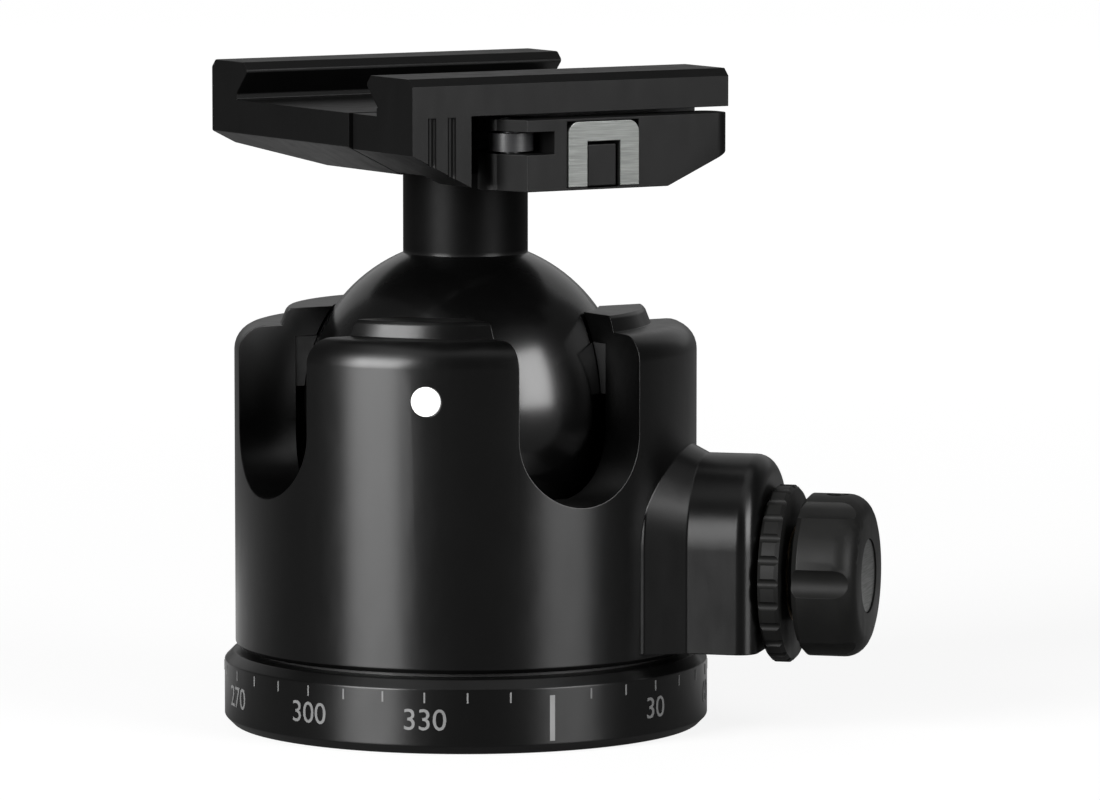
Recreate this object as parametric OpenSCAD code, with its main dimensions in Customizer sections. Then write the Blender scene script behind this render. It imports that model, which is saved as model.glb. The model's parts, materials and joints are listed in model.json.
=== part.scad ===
// Ball head for a camera tripod: panning base, notched housing with a wedge lock, ball and lever clamp.
// Millimetres. Z is up, and the origin is the centre of the base's lower face.

/* [Base] */
// Diameter of the panning base
base_d = 66; // [64.5:0.5:70]
// Height of the panning base
base_h = 10; // [9:0.5:13]
// Chamfer round the edges of the base
base_chamfer = 1.2; // [0.4:0.1:2]
// Thickness of the base under the pan spindle
base_floor = 3; // [2.5:0.25:4]
// Tapping diameter of the tripod thread, 3/8 inch
tap_d = 8; // [7.9:0.05:8.2]
// Depth of the tripod thread
tap_depth = 11; // [9:0.5:12]
// Outside diameter of the steel thread insert
insert_d = 14; // [12:0.5:16]
// Diameter of the pan spindle
spindle_d = 26; // [22:0.5:28]
// Diameter of the spindle's flange in the base
flange_d = 38; // [36:0.5:42]
// Diameter of the spindle's threaded neck
neck_d = 18; // [16:0.5:20]
// Thickness of the retaining nut
nut_h = 2; // [1.5:0.25:2.25]
// Gap between the retaining nut and the wedge
nut_gap = 1; // [0.5:0.25:2]
// Height of the dark seam between base and housing
seam_h = 0.6; // [0.4:0.1:1.2]

/* [Housing] */
// Outside diameter of the housing
body_d = 63; // [61:0.5:64]
// Thickness of the upper race at the ball's middle
race_t = 1.2; // [1:0.1:1.8]
// Thickness of the floor that closes the housing
floor_h = 6; // [5.5:0.25:8]
// Height of the shoulder above the ball's centre
shoulder_rise = 10.7; // [9.5:0.1:11.5]
// Rounding of the shoulder's outer edge
shoulder_r = 3.5; // [2:0.25:4.5]
// Height of the lip above the ball's centre
lip_rise = 12.9; // [12.2:0.1:13.5]
// Outside diameter of the lip
lip_d = 49; // [46:0.5:52]
// Width of a drop notch
notch_w = 18.6; // [18.2:0.1:20]
// Depth of a drop notch below the ball's centre
notch_depth = 11.6; // [10:0.1:12]
// Height of the upper race ring
race_h = 6.8; // [5:0.2:7.5]
// Diameter of the index dot
dot_d = 4; // [3:0.25:5]
// Height of the index dot above the ball's centre
dot_rise = 3; // [1:0.25:5]

/* [Ball and stem] */
// Diameter of the ball
ball_d = 44; // [43.5:0.1:44.4]
// Diameter of the stem
stem_d = 17; // [15:0.25:17.5]
// From the ball's centre up to the stem's top face
stem_reach = 32.2; // [32:0.1:36]
// Depth of the tapped hole in the stem
stem_tap_depth = 12; // [10:0.5:16]

/* [Lock] */
// Height of the lock axis above the housing floor
lock_rise = 4.8; // [4.7:0.1:5.4]
// Height of the ball's lowest point above the lock axis
ball_over_lock = 0.4; // [0.3:0.1:1.5]
// Width of the turret
turret_w = 24; // [23:0.5:26]
// Top of the turret above the lock axis
turret_rise = 16.1; // [14:0.25:17]
// Bottom of the turret below the lock axis
turret_drop = 9.8; // [9:0.1:10.2]
// From the housing's axis out to the turret's face
turret_reach = 43; // [42:0.5:46]
// Edge rounding of the turret's face
turret_edge = 2.6; // [1:0.1:3]
// Diameter of the bush in the turret
bush_d = 15; // [14.5:0.25:17]
// Diameter of the lock shaft
shaft_d = 8; // [7:0.25:8.5]
// Diameter of the friction sleeve
sleeve_d = 12.8; // [11.5:0.1:13]
// Diameter of the friction ring
friction_d = 24; // [23:0.5:25]
// Thickness of the friction ring
friction_w = 2.8; // [2:0.1:4]
// Diameter of the lock knob
knob_d = 22; // [20:0.5:24]
// Length of the lock knob's grip
knob_w = 8.6; // [8:0.2:14]
// Width of the gap in front of the lock knob
knob_neck = 1.2; // [0.8:0.1:2]
// Rounding of the lock knob's end
knob_round = 3; // [1.5:0.25:4]
// Number of flutes round the lock knob
knob_flutes = 6; // [5:1:8]
// Length of the wedge
wedge_l = 5.4; // [5:0.1:6]
// Width of the wedge
wedge_w = 11; // [10:0.25:12]
// Slope of the wedge's upper face in degrees
wedge_slope = 8; // [5:0.5:10]
// Travel of the wedge between locked and free
wedge_travel = 1.25; // [0.8:0.05:1.3]

/* [Pan lock] */
// Diameter of the pan lock screw
pan_screw_d = 4; // [3.5:0.25:4]
// Diameter of the pan lock knob
pan_knob_d = 16; // [14:0.5:18]
// Length of the pan lock knob
pan_knob_w = 10; // [8:0.5:14]
// Number of flutes round the pan lock knob
pan_flutes = 6; // [5:1:8]
// Travel of the brake shoe
shoe_travel = 0.5; // [0.3:0.05:0.6]

/* [Clamp] */
// Length of the clamp along the dovetail
clamp_l = 50; // [48:0.5:54]
// Width of the dovetail plate that the clamp holds
plate_w = 38; // [37.5:0.1:38.5]
// Height of the seat above the stem's top face
seat_h = 8.6; // [8.4:0.1:10]
// Height of the jaws above the seat
jaw_h = 5.2; // [4.6:0.1:6]
// Overhang of each jaw over the plate
jaw_overhang = 3; // [2.4:0.1:3.4]
// Width of the fixed jaw at its top
fixed_jaw_w = 10; // [9:0.25:12]
// Width of the movable jaw at its top
movable_jaw_w = 12; // [11.5:0.25:13]
// Length of the sloping ends under the clamp
end_slope_l = 8; // [6:0.5:10]
// Height of the sloping ends under the clamp
end_slope_h = 4; // [3.5:0.25:4.5]
// Travel of the movable jaw
jaw_travel = 2.2; // [1.8:0.1:2.4]
// Diameter of the clamp bolt
bolt_d = 6; // [5:0.5:6.5]
// Diameter of the draw bolt
draw_d = 4; // [3.5:0.25:4.25]
// Diameter of the guide pins
guide_d = 4; // [3.5:0.25:4.25]

/* [Lever] */
// Distance of the lever's pivot from the clamp's middle
lever_offset = 8; // [7.5:0.25:9]
// Largest radius of the lever's cam
cam_r = 5.7; // [5.5:0.1:6]
// Diameter of the lever's pivot pin
pin_d = 3; // [2.5:0.1:3.2]
// Reach of the lever from its pivot to its tip
lever_reach = 31; // [29:0.5:34]
// How far the lever hangs below the clamp
lever_drop = 1.4; // [1:0.1:1.6]
// Thickness of the lever's arm
lever_t = 5.6; // [5:0.1:5.7]
// Swing of the lever in degrees
lever_swing = 100; // [80:5:100]
// Width of the safety catch's frame
catch_w = 11; // [9.5:0.1:11.5]
// Distance of the safety catch from the lever's pivot
catch_reach = 10.8; // [10.5:0.1:13]
// Width of the safety button
button_w = 4.4; // [4:0.1:5]
// Travel of the safety button
button_travel = 1.2; // [0.8:0.1:1.4]

/* [Hidden] */
$fn = 64;
// Radial clearance of a turning or sliding fit
run_gap = 0.06;
// Clearance of a fixed fit
press_gap = 0.03;
// Clearance between the ball and its seats
seat_gap = 0.1;
// Clearance between faces that pass each other
face_gap = 0.3;
// Overcut that carries a cut past a face
cut = 1;
// Directions of the drop notches, the lock, the pan lock and the index dot
notch_angles = [-90, 180, 0];
lock_angle = -45;
pan_angle = 45;
dot_angle = -130;
// Colours
black_anodised = [0.09, 0.09, 0.095];
black_gloss = [0.05, 0.05, 0.055];
black_knob = [0.14, 0.14, 0.145];
steel = [0.72, 0.72, 0.71];
brass = [0.72, 0.58, 0.3];
black_plastic = [0.12, 0.12, 0.12];
black_oxide = [0.16, 0.16, 0.17];
// Clearance under the housing's floor, and under the nut that holds it down
floor_gap = 0.2;
// Heights, stacked up from the base
body_z = base_h + seam_h;
floor_z = body_z + floor_gap;
floor_top = floor_z + floor_h;
lock_z = floor_top + lock_rise;
ball_r = ball_d / 2;
ball_z = lock_z + ball_over_lock + ball_r;
pan_z = floor_z + floor_h / 2;
shoulder_z = ball_z + shoulder_rise;
lip_z = ball_z + lip_rise;
notch_z = ball_z - notch_depth;
// Washer between base and housing, set in from the housing's edge
washer_in = 2.5;
washer_play = 1;
// Screws in the base
screws = 3;
screw_turn = 30;
screw_d = 3;
screw_head_d = 5.4;
screw_head_h = 1.4;
screw_l = 8;
screw_recess = 0.3;
// Housing
body_r = body_d / 2;
bore_r = ball_r + race_t;
body_chamfer = 0.6;
lip_r = lip_d / 2;
lip_slope = 0.7;
lip_edge = 0.4;
seat_r = ball_r + seat_gap;
race_low = 2.2;
race_top = ball_z + race_low + race_h;
dot_depth = 1;
dot_proud = 0.15;
// Cup and wedge, under the ball
wedge_gap = 0.8;
wedge_out = bore_r - wedge_gap;
wedge_in = wedge_out - wedge_l;
nut_d = 2 * (wedge_in - nut_gap);
wedge_z = floor_top + face_gap;
cup_z = lock_z + shaft_d / 2;
cup_below = 0.4;
cup_top = notch_z - cup_below;
wedge_step = 0.3;
wedge_low = cup_z + wedge_step;
fulcrum_l = 5;
fulcrum_w = 12;
// Lock shaft, sleeve, bush and knob, as distances along the lock axis
thread_step = 1;
thread_d = shaft_d - thread_step;
collar_wall = 3.8;
collar_in = bore_r + collar_wall;
collar_w = 1.3;
bush_in = collar_in + collar_w + face_gap;
ring_in = turret_reach + face_gap;
ring_out = ring_in + friction_w;
knob_in = ring_out + face_gap + knob_neck;
knob_out = knob_in + knob_w;
cap_d = 10;
knob_flute_d = 5;
cap_t = 1.2;
shaft_cover = 1;
grub_d = 3;
grub_sunk = 2;
// Pan lock, as distances along its axis
shoe_in = spindle_d / 2 + face_gap;
shoe_l = 5.6;
shoe_out = shoe_in + shoe_l;
pan_screw_in = shoe_out + shoe_travel + face_gap;
pan_collar_in = body_r + face_gap;
pan_collar_band = 1.5;
pan_cover = 2;
pan_knob_round = 2;
pan_flute_d = 4;
pan_knob_in = max(base_d, body_d) / 2 + face_gap;
pan_knob_out = pan_knob_in + pan_knob_w;
// Clamp, with the dovetail along X and the lever on the -Y side
stem_top = ball_z + stem_reach - seat_gap;
clamp_z = ball_z + stem_reach;
seat_z = clamp_z + seat_h;
jaw_top = seat_z + jaw_h;
jaw_chamfer = 1;
plate_half = plate_w / 2 + seat_gap;
groove_h = 0.8;
lip_half = plate_half - jaw_overhang;
fixed_y = lip_half + fixed_jaw_w;
movable_y = lip_half + movable_jaw_w;
split_y = 12;
web_wall = 0.5;
web_y = plate_half + web_wall;
web_rise = 0.4;
web_z = clamp_z + web_rise;
side_slope_l = 18;
side_slope_h = 2.2;
draw_rise = 5;
draw_z = clamp_z + draw_rise;
draw_nut_d = 5.2;
draw_nut_l = 4;
draw_neck = 4;
guide_x = clamp_l / 2 - end_slope_l;
guide_z = clamp_z + seat_h / 2;
guide_depth = 16;
guide_end = guide_depth - split_y;
guide_sunk = 1;
guide_head = -web_y + guide_sunk;
spring_band = 1.5;
spring_d = guide_d + 2 * spring_band;
spring_l = 6;
bolt_head_d = 11;
bolt_head_h = 2.8;
bolt_sunk = 0.3;
bolt_gap = 1;
jaw_set_in = 0.5;
jaw_half = clamp_l / 2 - jaw_set_in;
// Lever
pivot_x = -lever_offset;
pivot_y = -(web_y + face_gap + cam_r);
lever_z = clamp_z - lever_drop;
lever_below = 0.5;
lever_top = seat_z - lever_below;
lever_h = lever_top - lever_z;
lever_face = pivot_y - cam_r;
tip_r = 2.2;
cam_fall = jaw_travel + face_gap;
eye_wall = 1.5;
eye_r = pin_d / 2 + eye_wall;
eye_t = 2.4;
block_gap = 1.8;
block_end = pivot_x - cam_r - block_gap;
catch_x = pivot_x + catch_reach;
catch_t = 1.2;
catch_top = 2.8;
catch_edge = 0.4;
catch_h = lever_h - 2 * catch_edge;
button_play = 0.2;
button_h = catch_h - catch_top - button_play;
button_l = 2;
button_seat = catch_t + button_l + button_travel;
rib_r = 0.6;
tip_slope_l = 10;
tip_slope_h = 4.4;
cam_past = 10;
heel_from = 262;

// Places children so that their Z axis points outwards from the housing, at a height
module outwards(angle, height) {
    translate([0, 0, height])
        rotate([0, 0, angle])
            rotate([0, 90, 0])
                children();
}

// A round bar between two distances from the housing's axis
module bar(angle, height, start, end, diameter) {
    outwards(angle, height)
        translate([0, 0, start])
            cylinder(h = end - start, d = diameter);
}

// A profile in the plane of a direction and Z, drawn to a width
module upright(angle, width) {
    rotate([90, 0, angle])
        translate([0, 0, -width / 2])
            linear_extrude(width)
                children();
}

// A profile in Y and Z, drawn along X between two places
module along_x(start, end) {
    translate([start, 0, 0])
        rotate([90, 0, 90])
            linear_extrude(end - start)
                children();
}

// Points on a circle's arc, for profiles
function arc(centre, radius, from, to, steps = 8) = [
    for (i = [0 : steps])
        let (a = from + (to - from) * i / steps)
            centre + radius * [cos(a), sin(a)]
];

// The cuts of all drop notches, wider by a clearance
module notches(extra = 0) {
    for (angle = notch_angles) {
        bar(angle, notch_z + notch_w / 2, stem_d / 2, body_r + cut, notch_w + extra);
        rotate([0, 0, angle])
            translate([stem_d / 2, -(notch_w + extra) / 2, notch_z + notch_w / 2])
                cube([body_r, notch_w + extra, lip_z]);
    }
}

// A fluted grip with a rounded end, along Z from 0
module fluted_grip(diameter, width, round, flutes, flute_d) {
    radius = diameter / 2;
    grip_edge = 0.8;
    flute_out = 0.3 * flute_d;
    profile = concat(
        [[0, 0], [radius - grip_edge, 0], [radius, grip_edge]],
        arc([radius - round, width - round], round, 0, 90),
        [[0, width]]
    );
    difference() {
        rotate_extrude() polygon(profile);
        for (i = [0 : flutes - 1])
            rotate([0, 0, (i + 0.5) * 360 / flutes])
                translate([radius + flute_out, 0, -cut])
                    cylinder(h = width + 2 * cut, d = flute_d, $fn = 32);
    }
}

module base_plate() {
    color(black_anodised)
        difference() {
            rotate_extrude()
                polygon([
                    [0, 0], [base_d / 2 - base_chamfer, 0], [base_d / 2, base_chamfer],
                    [base_d / 2, base_h - base_chamfer], [base_d / 2 - base_chamfer, base_h], [0, base_h]
                ]);
            translate([0, 0, base_floor])
                cylinder(h = base_h, d = flange_d + 2 * press_gap);
            translate([0, 0, -cut])
                cylinder(h = base_h, d = insert_d + 2 * press_gap);
            base_screw_cuts();
        }
}

// Places of the screws that hold the spindle from below
module at_base_screws() {
    circle_r = (spindle_d + flange_d) / 4;
    for (i = [0 : screws - 1])
        rotate([0, 0, i * 360 / screws + screw_turn])
            translate([circle_r, 0, 0])
                children();
}

module base_screw_cuts() {
    at_base_screws() {
        translate([0, 0, -cut])
            cylinder(h = screw_l, d = screw_d + 2 * press_gap);
        translate([0, 0, -cut])
            cylinder(h = screw_recess + screw_head_h + cut, d = screw_head_d + 2 * press_gap);
    }
}

module base_screws() {
    color(steel)
        at_base_screws() {
            translate([0, 0, screw_recess])
                cylinder(h = screw_l - screw_recess, d = screw_d);
            translate([0, 0, screw_recess])
                cylinder(h = screw_head_h, d = screw_head_d);
        }
}

module thread_insert() {
    color(steel)
        difference() {
            cylinder(h = tap_depth, d = insert_d);
            translate([0, 0, -cut])
                cylinder(h = tap_depth + 2 * cut, d = tap_d);
        }
}

module pan_spindle() {
    neck_z = floor_top + floor_gap;
    color(steel)
        difference() {
            union() {
                translate([0, 0, base_floor])
                    cylinder(h = base_h - base_floor - seat_gap, d = flange_d);
                translate([0, 0, base_floor])
                    cylinder(h = neck_z - base_floor, d = spindle_d);
                translate([0, 0, neck_z])
                    cylinder(h = nut_h, d = neck_d);
            }
            translate([0, 0, base_floor - cut])
                cylinder(h = tap_depth - base_floor + cut + press_gap, d = insert_d + 2 * press_gap);
            at_base_screws()
                cylinder(h = screw_l + press_gap, d = screw_d + 2 * press_gap);
        }
}

module pan_washer() {
    color(black_plastic)
        translate([0, 0, base_h])
            difference() {
                cylinder(h = seam_h - seat_gap, d = body_d - 2 * washer_in);
                translate([0, 0, -cut])
                    cylinder(h = seam_h + 2 * cut, d = flange_d + 2 * washer_play);
            }
}

module retaining_nut() {
    spanner = 3;
    spanner_deep = 2;
    color(steel)
        translate([0, 0, floor_top + floor_gap])
            difference() {
                cylinder(h = nut_h, d = nut_d);
                translate([0, 0, -cut])
                    cylinder(h = nut_h + 2 * cut, d = neck_d + 2 * press_gap);
                for (side = [0, 180])
                    rotate([0, 0, side])
                        translate([nut_d / 2 - spanner_deep, -spanner / 2, -cut])
                            cube([spanner, spanner, nut_h + 2 * cut]);
            }
}

// The turret that carries the lock: a round arch on straight sides, flared into the housing and with
// a rounded face
module turret() {
    flare = 2.6;
    flare_l = 2 * flare;
    root_depth = 3;
    root = body_r - root_depth;
    half = turret_w / 2;
    arch = turret_rise - half;
    side = concat(
        [[half + flare, bore_r + cut], [half + flare, root], [half, root + flare_l]],
        arc([half - turret_edge, turret_reach - turret_edge], turret_edge, 0, 90)
    );
    other_side = [for (i = [len(side) - 1 : -1 : 0]) [-side[i][0], side[i][1]]];
    outwards(lock_angle, lock_z)
        translate([-arch, 0, 0]) {
            rotate_extrude()
                polygon(concat([[0, bore_r + cut]], side, [[0, turret_reach]]));
            rotate([90, 0, 90])
                linear_extrude(arch + turret_drop)
                    polygon(concat(side, other_side));
        }
}

module housing() {
    slot_l = wedge_l + wedge_travel + face_gap;
    slot_over = 2;
    sleeve_over = 2;
    profile = concat(
        [[0, body_z], [body_r - body_chamfer, body_z], [body_r, body_z + body_chamfer]],
        arc([body_r - shoulder_r, shoulder_z - shoulder_r], shoulder_r, 0, 90),
        [[lip_r + lip_slope, shoulder_z], [lip_r, lip_z - lip_edge], [lip_r - lip_edge, lip_z], [0, lip_z]]
    );
    color(black_anodised)
        difference() {
            union() {
                rotate_extrude() polygon(profile);
                turret();
            }
            translate([0, 0, body_z - cut])
                cylinder(h = race_top - body_z + cut, r = bore_r);
            translate([0, 0, ball_z])
                sphere(r = seat_r + seat_gap);
            notches();
            bar(lock_angle, lock_z, bush_in, turret_reach + cut, bush_d + 2 * press_gap);
            bar(lock_angle, lock_z, bore_r - sleeve_over, bush_in + press_gap, sleeve_d + 2 * face_gap);
            rotate([0, 0, lock_angle])
                translate([wedge_in, -wedge_w / 2 - face_gap, floor_top])
                    cube([slot_l, wedge_w + 2 * face_gap, cup_z - floor_top + slot_over]);
            bar(pan_angle, pan_z, bore_r - cut, body_r + cut, pan_screw_d + 2 * run_gap);
            bar(dot_angle, ball_z + dot_rise, body_r - dot_depth, body_r + cut, dot_d + 2 * press_gap);
        }
}

module housing_floor() {
    color(black_anodised)
        difference() {
            translate([0, 0, floor_z])
                cylinder(h = floor_h, r = bore_r - press_gap);
            translate([0, 0, floor_z - cut])
                cylinder(h = floor_h + 2 * cut, d = spindle_d + 2 * run_gap);
            bar(pan_angle, pan_z, spindle_d / 2 - cut, bore_r + cut, pan_screw_d + 2 * run_gap);
        }
}

module upper_race() {
    color(black_plastic)
        difference() {
            translate([0, 0, race_top - race_h])
                cylinder(h = race_h - press_gap, r = bore_r - press_gap);
            translate([0, 0, ball_z])
                sphere(r = seat_r);
            notches(4 * seat_gap);
        }
}

module main_bush() {
    color(brass)
        difference() {
            bar(lock_angle, lock_z, bush_in + press_gap, turret_reach - seat_gap, bush_d);
            bar(lock_angle, lock_z, bush_in - cut, turret_reach + cut, sleeve_d + 2 * run_gap);
        }
}

module fulcrum_block() {
    color(steel)
        rotate([0, 0, lock_angle + 180])
            intersection() {
                translate([bore_r - face_gap - fulcrum_l, -fulcrum_w / 2, floor_top])
                    cube([fulcrum_l + cut, fulcrum_w, cup_z - face_gap - floor_top]);
                cylinder(h = cup_z, r = bore_r - press_gap);
            }
}

module index_dot() {
    color("white")
        bar(dot_angle, ball_z + dot_rise, body_r - dot_depth, body_r + dot_proud, dot_d);
}

module main_knob() {
    color(black_knob)
        difference() {
            outwards(lock_angle, lock_z)
                union() {
                    translate([0, 0, knob_in])
                        fluted_grip(knob_d, knob_w, knob_round, knob_flutes, knob_flute_d);
                    translate([0, 0, ring_out + face_gap])
                        cylinder(h = knob_neck + cut, d = sleeve_d);
                }
            bar(lock_angle, lock_z, ring_out - cut, knob_out - cap_t - shaft_cover, shaft_d + 2 * press_gap);
            bar(lock_angle, lock_z, knob_out - cap_t, knob_out + cut, cap_d + 2 * press_gap);
            grub_bore();
        }
}

// The grub screw's bore, across the lock knob from above
module grub_bore() {
    rotate([0, 0, lock_angle])
        translate([(knob_in + knob_out) / 2, 0, lock_z + shaft_d / 2])
            cylinder(h = knob_d, d = grub_d + 2 * press_gap);
}

module knob_grub() {
    color(steel)
        rotate([0, 0, lock_angle])
            translate([(knob_in + knob_out) / 2, 0, lock_z + shaft_d / 2 + press_gap])
                cylinder(h = knob_d / 2 - shaft_d / 2 - grub_sunk, d = grub_d);
}

module main_shaft() {
    color(steel) {
        bar(lock_angle, lock_z, wedge_in, collar_in, thread_d);
        bar(lock_angle, lock_z, collar_in, collar_in + collar_w, sleeve_d);
        bar(lock_angle, lock_z, collar_in + collar_w, knob_out - cap_t - shaft_cover - press_gap, shaft_d);
    }
}

module knob_cap() {
    sunk = 0.2;
    color(steel)
        bar(lock_angle, lock_z, knob_out - cap_t + press_gap, knob_out - sunk, cap_d);
}

module friction_ring() {
    grooves = 24;
    groove_d = 1.4;
    groove_out = 0.15 * groove_d;
    ring_r = friction_d / 2;
    edge = 0.5;
    color(black_knob)
        outwards(lock_angle, lock_z)
            difference() {
                translate([0, 0, ring_in])
                    rotate_extrude()
                        polygon([
                            [sleeve_d / 2 + press_gap, 0], [ring_r - edge, 0], [ring_r, edge],
                            [ring_r, friction_w - edge], [ring_r - edge, friction_w],
                            [sleeve_d / 2 + press_gap, friction_w]
                        ]);
                for (i = [0 : grooves - 1])
                    rotate([0, 0, i * 360 / grooves])
                        translate([ring_r + groove_out, 0, ring_in - cut])
                            cylinder(h = friction_w + 2 * cut, d = groove_d, $fn = 16);
            }
}

module friction_sleeve() {
    color(brass)
        difference() {
            bar(lock_angle, lock_z, bush_in + press_gap, ring_out, sleeve_d);
            bar(lock_angle, lock_z, bush_in - cut, ring_out + cut, shaft_d + 2 * run_gap);
        }
}

// Height of the wedge's upper face at a distance from the housing's axis
function wedge_at(distance) = wedge_low + (distance - wedge_in) * tan(wedge_slope);

module wedge_block() {
    color(steel)
        difference() {
            upright(lock_angle, wedge_w)
                polygon([
                    [wedge_in, wedge_z], [wedge_out, wedge_z],
                    [wedge_out, wedge_at(wedge_out)], [wedge_in, wedge_at(wedge_in)]
                ]);
            bar(lock_angle, lock_z, wedge_in - cut, wedge_out + cut, thread_d + 2 * run_gap);
        }
}

module lower_cup() {
    pocket_in = wedge_in - face_gap - cut;
    pocket_out = bore_r + cut;
    color(black_plastic)
        difference() {
            translate([0, 0, cup_z])
                cylinder(h = cup_top - cup_z, r = bore_r - run_gap);
            translate([0, 0, ball_z])
                sphere(r = seat_r);
            upright(lock_angle, wedge_w + 2 * face_gap)
                polygon([
                    [pocket_in, cup_z - cut], [pocket_out, cup_z - cut],
                    [pocket_out, wedge_at(pocket_out) + seat_gap],
                    [pocket_in, wedge_at(pocket_in) + seat_gap]
                ]);
        }
}

module pan_knob() {
    color(black_knob)
        difference() {
            outwards(pan_angle, pan_z)
                translate([0, 0, pan_knob_in])
                    fluted_grip(pan_knob_d, pan_knob_w, pan_knob_round, pan_flutes, pan_flute_d);
            bar(pan_angle, pan_z, pan_knob_in - cut, pan_knob_out - pan_cover, pan_screw_d + 2 * press_gap);
        }
}

module pan_screw() {
    color(steel) {
        bar(pan_angle, pan_z, pan_screw_in, pan_knob_out - pan_cover - press_gap, pan_screw_d);
        bar(pan_angle, pan_z, pan_collar_in, pan_knob_in - press_gap, pan_screw_d + 2 * pan_collar_band);
    }
}

module pan_shoe() {
    color(brass)
        difference() {
            bar(pan_angle, pan_z, spindle_d / 2 - cut, shoe_out, pan_screw_d);
            cylinder(h = lip_z, r = shoe_in);
        }
}

module ball_stem() {
    color(black_gloss)
        difference() {
            union() {
                translate([0, 0, ball_z])
                    sphere(r = ball_r);
                translate([0, 0, ball_z])
                    cylinder(h = stem_top - ball_z, d = stem_d);
            }
            translate([0, 0, stem_top - stem_tap_depth])
                cylinder(h = stem_tap_depth + cut, d = bolt_d + 2 * run_gap);
        }
}

// The sloping cuts under both ends of the clamp
module end_slopes() {
    low = lever_drop + cut;
    start = clamp_l / 2 - end_slope_l * (1 + low / end_slope_h);
    end = clamp_l / 2 + cut;
    for (side = [0, 180])
        rotate([0, 0, side])
            rotate([90, 0, 0])
                translate([0, 0, -2 * movable_y])
                    linear_extrude(4 * movable_y)
                        polygon([
                            [start, clamp_z - low], [end, clamp_z - low],
                            [end, clamp_z + end_slope_h * (1 + cut / end_slope_l)]
                        ]);
}

module clamp_base() {
    profile = [
        [-split_y, clamp_z], [fixed_y - side_slope_l, clamp_z], [fixed_y, clamp_z + side_slope_h],
        [fixed_y, jaw_top - jaw_chamfer], [fixed_y - jaw_chamfer, jaw_top],
        [lip_half + jaw_chamfer, jaw_top], [lip_half, jaw_top - jaw_chamfer],
        [lip_half, seat_z + groove_h + jaw_overhang],
        [plate_half, seat_z + groove_h], [plate_half, seat_z], [-split_y, seat_z]
    ];
    color(black_anodised)
        difference() {
            along_x(-clamp_l / 2, clamp_l / 2) polygon(profile);
            end_slopes();
            translate([0, 0, clamp_z - cut])
                cylinder(h = seat_h + 2 * cut, d = bolt_d + 2 * press_gap);
            translate([0, 0, seat_z - bolt_head_h - bolt_sunk])
                cylinder(h = bolt_head_h + bolt_sunk + cut, d = bolt_head_d + 2 * press_gap);
            along_y(pivot_x, draw_z, -split_y - cut, fixed_y + cut, draw_d + 2 * press_gap);
            along_y(pivot_x, draw_z, fixed_y - draw_nut_l, fixed_y + cut, draw_nut_d + 2 * press_gap);
            for (x = [-guide_x, guide_x]) {
                along_y(x, guide_z, -split_y - cut, guide_end + face_gap, guide_d + 2 * run_gap);
                along_y(x, guide_z, -split_y - cut, spring_l - split_y, spring_d + 2 * press_gap);
            }
        }
}

// A round bar along Y at a place in X and Z
module along_y(x, z, start, end, diameter) {
    translate([x, start, z])
        rotate([-90, 0, 0])
            cylinder(h = end - start, d = diameter);
}

module clamp_bolt() {
    socket_d = 5;
    socket_floor = 0.5;
    color(steel)
        difference() {
            union() {
                translate([0, 0, stem_top - stem_tap_depth + bolt_gap])
                    cylinder(h = seat_z - stem_top + stem_tap_depth - 2 * bolt_gap, d = bolt_d);
                translate([0, 0, seat_z - bolt_head_h - bolt_sunk])
                    cylinder(h = bolt_head_h, d = bolt_head_d);
            }
            translate([0, 0, seat_z - bolt_head_h + socket_floor])
                cylinder(h = bolt_head_h + cut, d = socket_d, $fn = 6);
        }
}

module draw_bolt() {
    bar_end = -split_y - draw_neck;
    sunk = 0.5;
    flat_w = draw_d - 2 * face_gap;
    color(black_oxide)
        difference() {
            union() {
                along_y(pivot_x, draw_z, bar_end, fixed_y - sunk, draw_d);
                translate([pivot_x - flat_w / 2, pivot_y, draw_z - eye_t / 2])
                    cube([flat_w, bar_end - pivot_y, eye_t]);
                translate([pivot_x, pivot_y, draw_z - eye_t / 2])
                    cylinder(h = eye_t, r = eye_r);
            }
            translate([pivot_x, pivot_y, draw_z - eye_t])
                cylinder(h = 2 * eye_t, d = pin_d + 2 * press_gap);
        }
}

module draw_nut() {
    sunk = 0.3;
    color(black_oxide)
        difference() {
            along_y(pivot_x, draw_z, fixed_y - draw_nut_l + press_gap, fixed_y - sunk, draw_nut_d);
            along_y(pivot_x, draw_z, fixed_y - draw_nut_l - cut, fixed_y + cut, draw_d + 2 * press_gap);
        }
}

module lever_pin() {
    sunk = 0.2;
    color(black_oxide)
        translate([pivot_x, pivot_y, lever_z + sunk])
            cylinder(h = lever_h - 2 * sunk, d = pin_d);
}

// Two stacks of conical spring washers on the guide pins
module jaw_springs() {
    washers = 6;
    cone_in = 0.3;
    cone_out = 0.5;
    step = (spring_l - face_gap) / washers;
    inner = guide_d / 2 + run_gap;
    outer = spring_d / 2 - press_gap;
    zigzag_in = [for (i = [0 : washers]) [inner + (i % 2) * cone_in, i * step]];
    zigzag_out = [for (i = [washers : -1 : 0]) [outer - (i % 2) * cone_out, i * step]];
    color(steel)
        for (x = [-guide_x, guide_x])
            translate([x, spring_l - split_y, guide_z])
                rotate([90, 0, 0])
                    rotate_extrude()
                        polygon(concat(zigzag_in, zigzag_out));
}

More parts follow.
